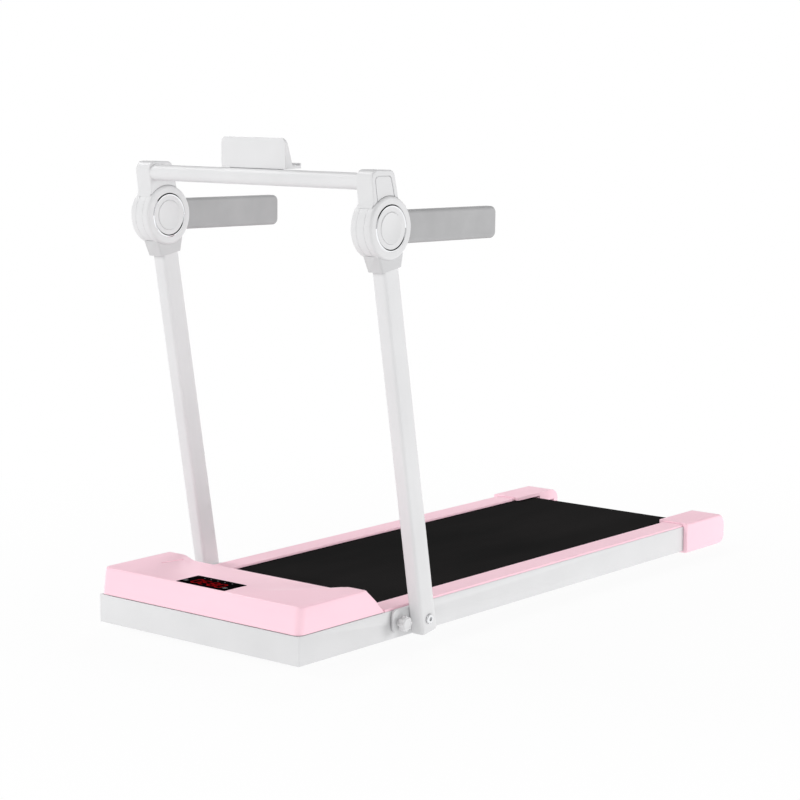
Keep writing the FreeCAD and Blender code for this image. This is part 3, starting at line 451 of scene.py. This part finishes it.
# Drive and electrics under the hood: motor in its saddle, pulleys and belt, control board, mains inlet and
# switch. The motor is painted steel, the boards are glass fibre, and the sockets are moulded black plastic.
motor_paint = skin(
    "motor_paint", tone(40, 42, 46), tone(58, 60, 64),
    rough=(0.3, 0.45), cloud=30.0, peel=600.0, depth=0.1, metal=0.6,
)
board_green = skin(
    "board_green", tone(18, 70, 40), tone(34, 104, 60), rough=(0.3, 0.45), cloud=160.0, peel=900.0, depth=0.1
)
black_plastic = skin(
    "black_plastic", tone(26, 26, 27), tone(36, 36, 38), rough=(0.4, 0.55), cloud=40.0, peel=1400.0, depth=0.1
)
switch_red = skin(
    "switch_red", tone(150, 18, 20), tone(178, 28, 30), rough=(0.25, 0.35), cloud=60.0, peel=900.0, depth=0.05
)
dress(motor_paint, "motor_body")
dress(steel, "motor_rotor")
dress(black_plastic, "roller_pulley")
dress(board_green, "control_board", "display_board")
for name in ("power_inlet", "switch_housing"):
    socket = copy_of(name)
    soften(socket, width=0.0005)
    settle(socket, black_plastic, "black_plastic", name)
rocker = copy_of("switch_rocker")
soften(rocker, width=0.0007, segments=4)
settle(rocker, switch_red, "switch_red", "switch_rocker")

# Display window: a plate of smoked acrylic with rounded corners, let into the top of the hood.
# It is pressed in from above and stands a hair proud of the pink.
display_black = skin(
    "display_black", tone(4, 4, 5), tone(9, 9, 10),
    rough=(0.16, 0.24), cloud=30.0, peel=200.0, depth=0.01, gloss=0.0,
)
window_low, window_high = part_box("display_window")
window_size = window_high - window_low
window = add_box("display_glass", (window_low + window_high) / 2, window_size)
apply_transforms(window)
bevel_edges(window, lambda a, b: near(abs(a.z - b.z), window_size.z), width=0.002, segments=4)
soften(window, width=0.0003, segments=2, sharp=60.0)
settle(window, display_black, "display_black", "display_window")


# Display figures: four digits and a colon of red light bars, soldered to the board and seen through the
# window. They face the walker on the belt, and lie as a thin film on the window, which is modelled opaque.
def add_rod(name, radius, depth, place, turn=(0.0, 0.0, 0.0), sides=64):
    bpy.ops.mesh.primitive_cylinder_add(
        vertices=sides, radius=radius, depth=depth, location=place, rotation=turn
    )
    bpy.context.object.name = name
    return bpy.context.object


def joined(name, pieces):
    only(pieces[0])
    for piece in pieces:
        piece.select_set(True)
    bpy.ops.object.join()
    pieces[0].name = name
    return pieces[0]


digit_red, tree, shader = new_material("digit_red")
lit = shade_between(tree, grain(tree, scale=400.0, detail=2.0), tone(104, 4, 8), tone(140, 10, 14))
tree.links.new(lit, shader.inputs["Base Color"])
tree.links.new(lit, shader.inputs["Emission Color"])
shader.inputs["Emission Strength"].default_value = 0.25
shader.inputs["Specular IOR Level"].default_value = 0.0
shader.inputs["Roughness"].default_value = 0.4
film, film_lift, off_middle = 0.0001, 0.00006, 0.00001
figure_z = window_high.z + film_lift
figure_y, figure_width, figure_depth, stroke = -0.6445, 0.0125, 0.025, 0.0032
figure_places = (0.0295, 0.0105, -0.0105, -0.0295)
colon_radius, colon_away = 0.0016, 0.005
across_x, along_y = 0, 1
strokes = {
    "top": (0.0, -0.5, across_x), "middle": (0.0, 0.0, across_x), "bottom": (0.0, 0.5, across_x),
    "upper_left": (0.5, -0.25, along_y), "upper_right": (-0.5, -0.25, along_y),
    "lower_left": (0.5, 0.25, along_y), "lower_right": (-0.5, 0.25, along_y),
}
stroke_gap = 0.4 * stroke
stroke_lengths = {across_x: figure_width - stroke_gap, along_y: figure_depth / 2 - stroke_gap}
nought = ("top", "bottom", "upper_left", "upper_right", "lower_left", "lower_right")
eight = tuple(strokes)
three = ("top", "middle", "bottom", "upper_right", "lower_right")
bars = []
for place, figure in zip(figure_places, (nought, eight, three, nought)):
    for name in figure:
        across, along, axis = strokes[name]
        middle = (place + across * figure_width, figure_y + along * figure_depth, figure_z)
        bar = add_rod(name, stroke / 2, film, middle, sides=6)
        for side in (-1, 1):
            pull = [0.0, 0.0, 0.0]
            pull[axis] = side * (stroke_lengths[axis] - stroke) / 2
            pick(bar, "VERT", lambda co: side * co[axis] > off_middle)
            bpy.ops.transform.translate(value=pull)
        bpy.ops.object.mode_set(mode="OBJECT")
        bars.append(bar)
for along in (-colon_away, colon_away):
    bars.append(add_rod("colon_dot", colon_radius, film, (0.0, figure_y + along, figure_z), sides=16))
digits = joined("display_figures", bars)
apply_transforms(digits)
settle(digits, digit_red, "digit_red", "display_digits")

# Display marks: a row of five dots and two pairs of short dashes, printed on the window in pale ink.
# They mark the touch keys and the readings, and say nothing more.
mark_white = skin(
    "mark_white", tone(120, 122, 122), tone(160, 162, 162),
    rough=(0.4, 0.5), cloud=300.0, peel=900.0, depth=0.02, gloss=0.0,
)
dot_y, dot_radius, dash_size = -0.6205, 0.0013, (0.009, 0.0016, film)
dot_places = (-0.035, -0.0185, -0.0015, 0.016, 0.0345)
dash_places = ((-0.053, -0.653), (-0.053, -0.649), (0.046, -0.6535), (0.046, -0.6495))
marks = [add_rod("dot", dot_radius, film, (across, dot_y, figure_z), sides=20) for across in dot_places]
marks += [add_box("dash", (across, along, figure_z), dash_size) for across, along in dash_places]
printed = joined("display_marks", marks)
apply_transforms(printed)
printed.data.materials.append(mark_white)
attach(printed, "base")


# Uprights: rounded rectangular steel tube with a closed, rounded foot, powder-coated like the base.
# Each turns on a shoulder bolt in a plastic bush, and a foot plate welded inside takes the lock knob.
def joint_place(name):
    for joint in frame["joints"]:
        if joint["name"] == name:
            return joint["pos_m"]
    raise KeyError(name)


_, pivot_y, pivot_z = joint_place("uprights_fold")
_, hub_y, hub_z = joint_place("handlebar_swing")
lean = math.atan2(pivot_y - hub_y, hub_z - pivot_z)
post_low, post_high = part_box("post_right")
post_x = (post_low.x + post_high.x) / 2
tube_width, tube_depth = post_high.x - post_low.x, 0.042
below, above = 0.0263, 0.6649
tube_round, foot_round = 0.0065, 0.003
recess_radius, recess_depth = 0.009, 0.012
sideways = (0.0, math.pi / 2, 0.0)
for side, name in ((-1, "post_left"), (1, "post_right")):
    middle = (0.0, 0.0, (above - below) / 2)
    post = add_box(name + "_tube", middle, (tube_width, tube_depth, above + below))
    apply_transforms(post)
    bevel_edges(post, lambda a, b: abs(a.z - b.z) > tube_depth, tube_round, segments=7)
    bevel_edges(post, lambda a, b: max(a.z, b.z) < -below + hair / 2, foot_round, segments=4)
    post.location = (side * post_x, pivot_y, pivot_z)
    post.rotation_euler = (lean, 0.0, 0.0)
    apply_transforms(post)
    bolt_place = (side * post_high.x, pivot_y, pivot_z)
    cut_away(post, add_rod("bolt_recess", recess_radius, recess_depth, bolt_place, sideways))
    smooth(post)
    settle(post, white_paint, "white_paint", name)
for name in ("foot_plate_left", "foot_plate_right"):
    plate = copy_of(name)
    soften(plate, width=0.0008, segments=2, sharp=50.0)
    settle(plate, white_paint, "white_paint", name)
bright_zinc = skin(
    "bright_zinc", tone(228, 229, 231), tone(240, 241, 242),
    rough=(0.25, 0.35), cloud=60.0, peel=300.0, depth=0.05, metal=0.6,
)
dress(bright_zinc, "pivot_bolts")
dress(steel, "pivot_spacers", "hub_axles", "handle_bars")
dress(black_plastic, "post_bushes")

# Lock knobs: white moulded heads with eight soft lobes and a sunk face, on a neck and a steel shank.
# The shank is moulded into the head, passes the foot plate's slot and screws into the base.
white_plastic = skin(
    "white_plastic", tone(213, 213, 214), tone(218, 218, 219),
    rough=(0.36, 0.44), cloud=10.0, peel=1500.0, depth=0.05, gloss=0.3,
)
_, knob_y, knob_z = joint_place("knob_right_turn")
knob_radius, knob_depth, knob_height, lobes = 0.0131, 0.011, 0.0122, 8
knob_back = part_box("knob_right")[1].x - knob_height
face_radius, face_depth, face_rim = 0.0108, 0.002, 0.0022
neck_radius, neck_depth, neck_z = 0.007, 0.009, -0.0036
shank_radius, shank_depth, shank_z = 0.004, 0.0104, -0.0132
# Each step is a band of the lobe wave, from low to high, and the size that its points are scaled to.
lobe_steps = ((0.8, 1.1, 1.1), (0.3, 0.8, 1.055), (-0.8, -0.3, 0.94), (-1.1, -0.8, 0.905))
for side, name in ((-1, "knob_left"), (1, "knob_right")):
    bpy.ops.mesh.primitive_circle_add(vertices=12 * lobes, radius=knob_radius, fill_type="NGON")
    head = bpy.context.object
    for low, high, size in lobe_steps:
        pick(head, "VERT", lambda co: low < math.cos(lobes * math.atan2(co.y, co.x)) <= high)
        bpy.ops.transform.resize(value=(size, size, 1.0), center_override=(0.0, 0.0, 0.0))
    pick(head, "VERT", lambda co: True)
    bpy.ops.mesh.vertices_smooth(factor=0.5, repeat=2)
    pick(head, "FACE", lambda centre, normal: True)
    bpy.ops.mesh.extrude_region_move(TRANSFORM_OT_translate={"value": (0.0, 0.0, knob_depth)})
    face_outward(head)
    bevel_edges(head, lambda a, b: near(a.z, b.z), width=0.0012, segments=4, clamp=True)
    face = add_rod("face", face_radius, face_depth, (0.0, 0.0, knob_height - face_depth / 2))
    apply_transforms(face)
    pick(face, "FACE", lambda centre, normal: normal.z > 0.9)
    bpy.ops.mesh.inset(thickness=face_rim, depth=0.0)
    bpy.ops.mesh.inset(thickness=0.0006, depth=-0.0007)
    bevel_edges(
        face, lambda a, b: near(a.z, knob_height) and near(b.z, knob_height),
        width=0.0005, segments=3, clamp=True,
    )
    neck = add_rod("neck", neck_radius, neck_depth, (0.0, 0.0, neck_z), sides=48)
    shank = add_rod("shank", shank_radius, shank_depth, (0.0, 0.0, shank_z), sides=32)
    knob = joined(name + "_head", [head, face, neck, shank])
    smooth(knob)
    knob.location = (side * knob_back, knob_y, knob_z)
    knob.rotation_euler = (0.0, side * math.pi / 2, 0.0)
    apply_transforms(knob)
    settle(knob, white_plastic, "white_plastic", name)

# Hub collars and covers: white mouldings, a tapered sleeve with two round ears, and covers with a rounded
# rim. The sleeve is pushed down over the upright's top. It is painted a little greyer than the ears, as
# painted shade that stands in for the shadow the drum above casts on it.
# A greyer copy of the white plastic: painted shade for the sleeve under the drum's overhang.
collar_painted_shade = skin(
    "collar_painted_shade", tone(196, 196, 197), tone(201, 201, 202),
    rough=(0.4, 0.5), cloud=10.0, peel=1500.0, depth=0.05, gloss=0.2,
)
collar_round, sharp_from = 0.0035, math.radians(40.0)
sleeve_top, flank_top = hub_z - 0.057, hub_z - 0.045
drum_reach = 0.0564
for name in ("collar_left", "collar_right"):
    collar = copy_of(name)
    bpy.ops.object.mode_set(mode="EDIT")
    bpy.context.tool_settings.mesh_select_mode = (False, True, False)
    bpy.ops.mesh.select_all(action="DESELECT")
    bpy.ops.mesh.edges_select_sharp(sharpness=sharp_from)
    bpy.ops.object.mode_set(mode="OBJECT")
    for edge in collar.data.edges:
        ends = [collar.data.vertices[index].co for index in edge.vertices]
        edge.select = edge.select and max(end.z for end in ends) < sleeve_top
    bpy.ops.object.mode_set(mode="EDIT")
    bpy.ops.mesh.bevel(offset=collar_round, segments=5, affect="EDGES", clamp_overlap=True)
    bpy.ops.object.mode_set(mode="OBJECT")
    smooth(collar)
    settle(collar, white_plastic, "white_plastic", name)
    collar.data.materials.append(collar_painted_shade)
    # The sleeve below the drum and its flanks take the greyer copy as painted shade, and the ears stay white.
    for face in collar.data.polygons:
        from_hub = math.hypot(face.center.y - hub_y, face.center.z - hub_z)
        on_flank = abs(face.normal.x) > 0.5 and face.center.z < flank_top
        face.material_index = 1 if from_hub > drum_reach or on_flank else 0
dress(white_plastic, "hub_covers", "hub_core_left", "hub_core_right")

# Hub rings: four slim rings of polished, chromed metal, one on each face of each hub.
# Each has a low ridged section and is pressed into a groove in the cover.
chrome_trim = skin(
    "chrome_trim", tone(232, 233, 235), tone(242, 243, 245),
    rough=(0.03, 0.06), cloud=30.0, peel=200.0, depth=0.005, metal=1.0,
)
hub_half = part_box("hub_rings")[1].x - post_x
ring_radius, ring_width, ring_height = 0.0389, 0.0025, 0.0012
rings = []
for side in (-1, 1):
    for facing in (-1, 1):
        crest = side * post_x + facing * hub_half
        bpy.ops.mesh.primitive_torus_add(
            major_radius=ring_radius, minor_radius=ring_width, major_segments=144, minor_segments=4,
            location=(crest - facing * ring_height, hub_y, hub_z), rotation=sideways,
        )
        ring = bpy.context.object
        ring.scale = (1.0, 1.0, ring_height / ring_width)
        apply_transforms(ring)
        bevel_edges(
            ring, lambda a, b: near(a.x, crest) and near(b.x, crest),
            width=0.0003, segments=3, clamp=True,
        )
        rings.append(ring)
trim = joined("chrome_rings", rings)
smooth(trim, turn=20.0)
settle(trim, chrome_trim, "chrome_trim", "hub_rings")


# Hub caps: white moulded discs with a shallow sunk face, a push cap on the outside of each hub and a blank
# cap on the inside. The push cap slides in the hub's bore against a spring, and the blank cap is clipped in.
def hub_disc(name, facing, face_x, back_x):
    radius, rim, dish_slope, dish_sink = 0.028, 0.0022, 0.0012, 0.0005
    depth = abs(face_x - back_x)
    disc = add_rod(name, radius, depth, (0.0, 0.0, -depth / 2), sides=128)
    apply_transforms(disc)
    pick(disc, "FACE", lambda centre, normal: normal.z > 0.9)
    bpy.ops.mesh.inset(thickness=rim, depth=0.0)
    bpy.ops.mesh.inset(thickness=dish_slope, depth=-dish_sink)

    def outer_rim(a, b):
        on_face = near(a.z, 0.0) and near(b.z, 0.0)
        return on_face and min(a.xy.length, b.xy.length) > radius - hair / 2

    bevel_edges(disc, outer_rim, width=0.0014, segments=5)
    disc.location = (face_x, hub_y, hub_z)
    disc.rotation_euler = (0.0, facing * math.pi / 2, 0.0)
    apply_transforms(disc)
    smooth(disc, turn=60.0)
    return disc


cap_back, cap_face = (corner.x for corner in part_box("button_right"))
blank_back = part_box("inner_caps")[1].x
for side, name in ((-1, "button_left"), (1, "button_right")):
    button = hub_disc(name + "_cap", side, side * cap_face, side * cap_back)
    settle(button, white_plastic, "white_plastic", name)
blanks = []
for side in (-1, 1):
    blanks.append(hub_disc("blank_cap", -side, side * (post_x - hub_half), side * blank_back))
blank_caps = joined("blank_caps", blanks)
settle(blank_caps, white_plastic, "white_plastic", "inner_caps")

# Block necks: the soft hollow where each handlebar block runs down into the round of its hub.
# It belongs to the same white moulding, and is cut from a small box by the drum's round and by its own.
neck_size, neck_turn = (0.034, 0.008, 0.01252), (math.radians(-15.9), 0.0, 0.0)
neck_away = (-0.03807, 0.04018)
drum_radius, hollow_radius, hollow_away = 0.0561, 0.016, (-0.05607, 0.04532)
cutter_length = 0.06
fillets = []
for side in (-1, 1):
    neck_place = (side * post_x, hub_y + neck_away[0], hub_z + neck_away[1])
    fillet = add_box("neck", neck_place, neck_size, neck_turn)
    apply_transforms(fillet)
    for radius, away in ((drum_radius, (0.0, 0.0)), (hollow_radius, hollow_away)):
        round_place = (side * post_x, hub_y + away[0], hub_z + away[1])
        cut_away(fillet, add_rod("round", radius, cutter_length, round_place, sideways, sides=192))
    fillets.append(fillet)
necks = joined("block_necks", fillets)
smooth(necks, turn=25.0)
necks.data.materials.append(white_plastic)
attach(necks, "head")

# Handlebar: a steel tube between the blocks above the hubs, powder-coated like the base and pressed into
# them. Each of the two grips is soft grey plastic, moulded over a flat steel bar that runs into the hub.
dress(white_paint, "crossbar")
grip_grey = skin(
    "grip_grey", tone(168, 168, 169), tone(176, 176, 177),
    rough=(0.55, 0.68), cloud=16.0, peel=1600.0, depth=0.15, gloss=0.15,
)
dress(grip_grey, "grip_left", "grip_right")

# Phone stand: one white moulding with a leaning back, a shelf and a low lip, in the same plastic as the hubs.
# Its foot rests on the crossbar and is screwed to it.
stand = copy_of("phone_stand")
soften(stand, width=0.0007, sharp=45.0)
settle(stand, white_plastic, "white_plastic", "phone_stand")


# Studio: a pale floor that runs out to white, a bright room with a dark ceiling, and four large soft lamps.
# Polished and satin surfaces mirror a dimmer room, dark overhead, and only two of the lamps.
def mix_shaders(tree, factor, first, second):
    blend = node(tree, "ShaderNodeMixShader")
    tree.links.new(factor, blend.inputs["Fac"])
    tree.links.new(first, blend.inputs[1])
    tree.links.new(second, blend.inputs[2])
    return blend.outputs["Shader"]


white = (1.0, 1.0, 1.0, 1.0)
bpy.ops.mesh.primitive_plane_add(size=30.0, location=(0.0, 0.0, 0.0))
floor = bpy.context.object
floor.name = "studio_floor"
floor_material, tree, shader = new_material("studio_floor")
shader.inputs["Base Color"].default_value = (0.75, 0.75, 0.75, 1.0)
shader.inputs["Roughness"].default_value = 0.9
shader.inputs["Specular IOR Level"].default_value = 0.1
rays = node(tree, "ShaderNodeLightPath").outputs
plain = node(tree, "ShaderNodeEmission")
plain.inputs["Color"].default_value = white
glow = range_between(tree, rays["Is Camera Ray"], low=1.13, high=1.0)
tree.links.new(glow, plain.inputs["Strength"])
seen = combine(tree, "MAXIMUM", rays["Is Camera Ray"], rays["Is Glossy Ray"])
where = node(tree, "ShaderNodeTexCoord")
distance = node(tree, "ShaderNodeVectorMath", operation="LENGTH")
tree.links.new(where.outputs["Object"], distance.inputs[0])
fade = range_between(tree, distance.outputs["Value"], low=0.93, high=1.0, start=0.5, end=1.6)
white_share = combine(tree, "MULTIPLY", seen.outputs[0], fade)
share = combine(tree, "MAXIMUM", white_share.outputs[0])
share.inputs[1].default_value = 0.75
surface = mix_shaders(tree, share.outputs[0], shader.outputs["BSDF"], plain.outputs["Emission"])
tree.links.new(surface, tree.nodes["Material Output"].inputs["Surface"])
floor.data.materials.append(floor_material)

world = bpy.data.worlds.new("studio")
bpy.context.scene.world = world
world.use_nodes = True
tree = world.node_tree
room = tree.nodes["Background"]
mirrored_room = node(tree, "ShaderNodeBackground")
backdrop = node(tree, "ShaderNodeBackground")
for light in (room, mirrored_room, backdrop):
    light.inputs["Color"].default_value = white
where = node(tree, "ShaderNodeTexCoord")
upward = node(tree, "ShaderNodeSeparateXYZ")
tree.links.new(where.outputs["Generated"], upward.inputs["Vector"])
ceiling = range_between(tree, upward.outputs["Z"], low=1.0, high=0.02, start=0.55, end=0.8)
tree.links.new(ceiling, room.inputs["Strength"])
dark_above = range_between(tree, upward.outputs["Z"], low=0.55, high=0.0, start=0.18, end=0.3)
tree.links.new(dark_above, mirrored_room.inputs["Strength"])
backdrop.inputs["Strength"].default_value = 1.0
rays = node(tree, "ShaderNodeLightPath").outputs
lighting = mix_shaders(
    tree, rays["Is Glossy Ray"], room.outputs["Background"], mirrored_room.outputs["Background"]
)
surface = mix_shaders(tree, rays["Is Camera Ray"], lighting, backdrop.outputs["Background"])
tree.links.new(surface, tree.nodes["World Output"].inputs["Surface"])


def soft_lamp(name, place, aim, size, power, mirrored):
    bpy.ops.object.light_add(type="AREA", location=place)
    lamp = bpy.context.object
    lamp.name = name
    lamp.data.shape = "DISK"
    lamp.data.size = size
    lamp.data.energy = power
    lamp.visible_glossy = mirrored
    away = [a - b for a, b in zip(place, aim)]
    flat = math.hypot(away[0], away[1])
    lamp.rotation_euler = (math.atan2(flat, away[2]), 0.0, math.atan2(away[0], -away[1]))


mid_height, belt_height, motor_end = (0.0, 0.0, 0.4), (0.0, 0.0, 0.1), (0.0, -0.5, 0.1)
soft_lamp("lamp_front", (-1.2, -5.4, 3.2), mid_height, size=2.6, power=86.0, mirrored=True)
soft_lamp("lamp_right", (5.4, 4.4, 2.2), mid_height, size=2.6, power=178.0, mirrored=False)
soft_lamp("lamp_edge", (-3.8, -1.0, 4.7), motor_end, size=1.8, power=108.0, mirrored=True)
soft_lamp("lamp_rear", (-2.9, 4.0, 2.9), belt_height, size=1.6, power=118.0, mirrored=False)

# Camera: the photograph's own viewpoint, with a long lens in front of the near corner and a little above the
# handlebar. It looks slightly down, and everything is in focus.
look_down, look_round = 8.530, 39.92
bpy.ops.object.camera_add(location=(2.7693, -3.4203, 1.0324))
camera = bpy.context.object
camera.rotation_euler = (math.radians(90.0 - look_down), 0.0, math.radians(look_round))
camera.data.lens = 100.2
camera.data.sensor_width = 36.0
camera.data.dof.use_dof = False
bpy.context.scene.camera = camera
bpy.context.scene.view_settings.view_transform = "Standard"
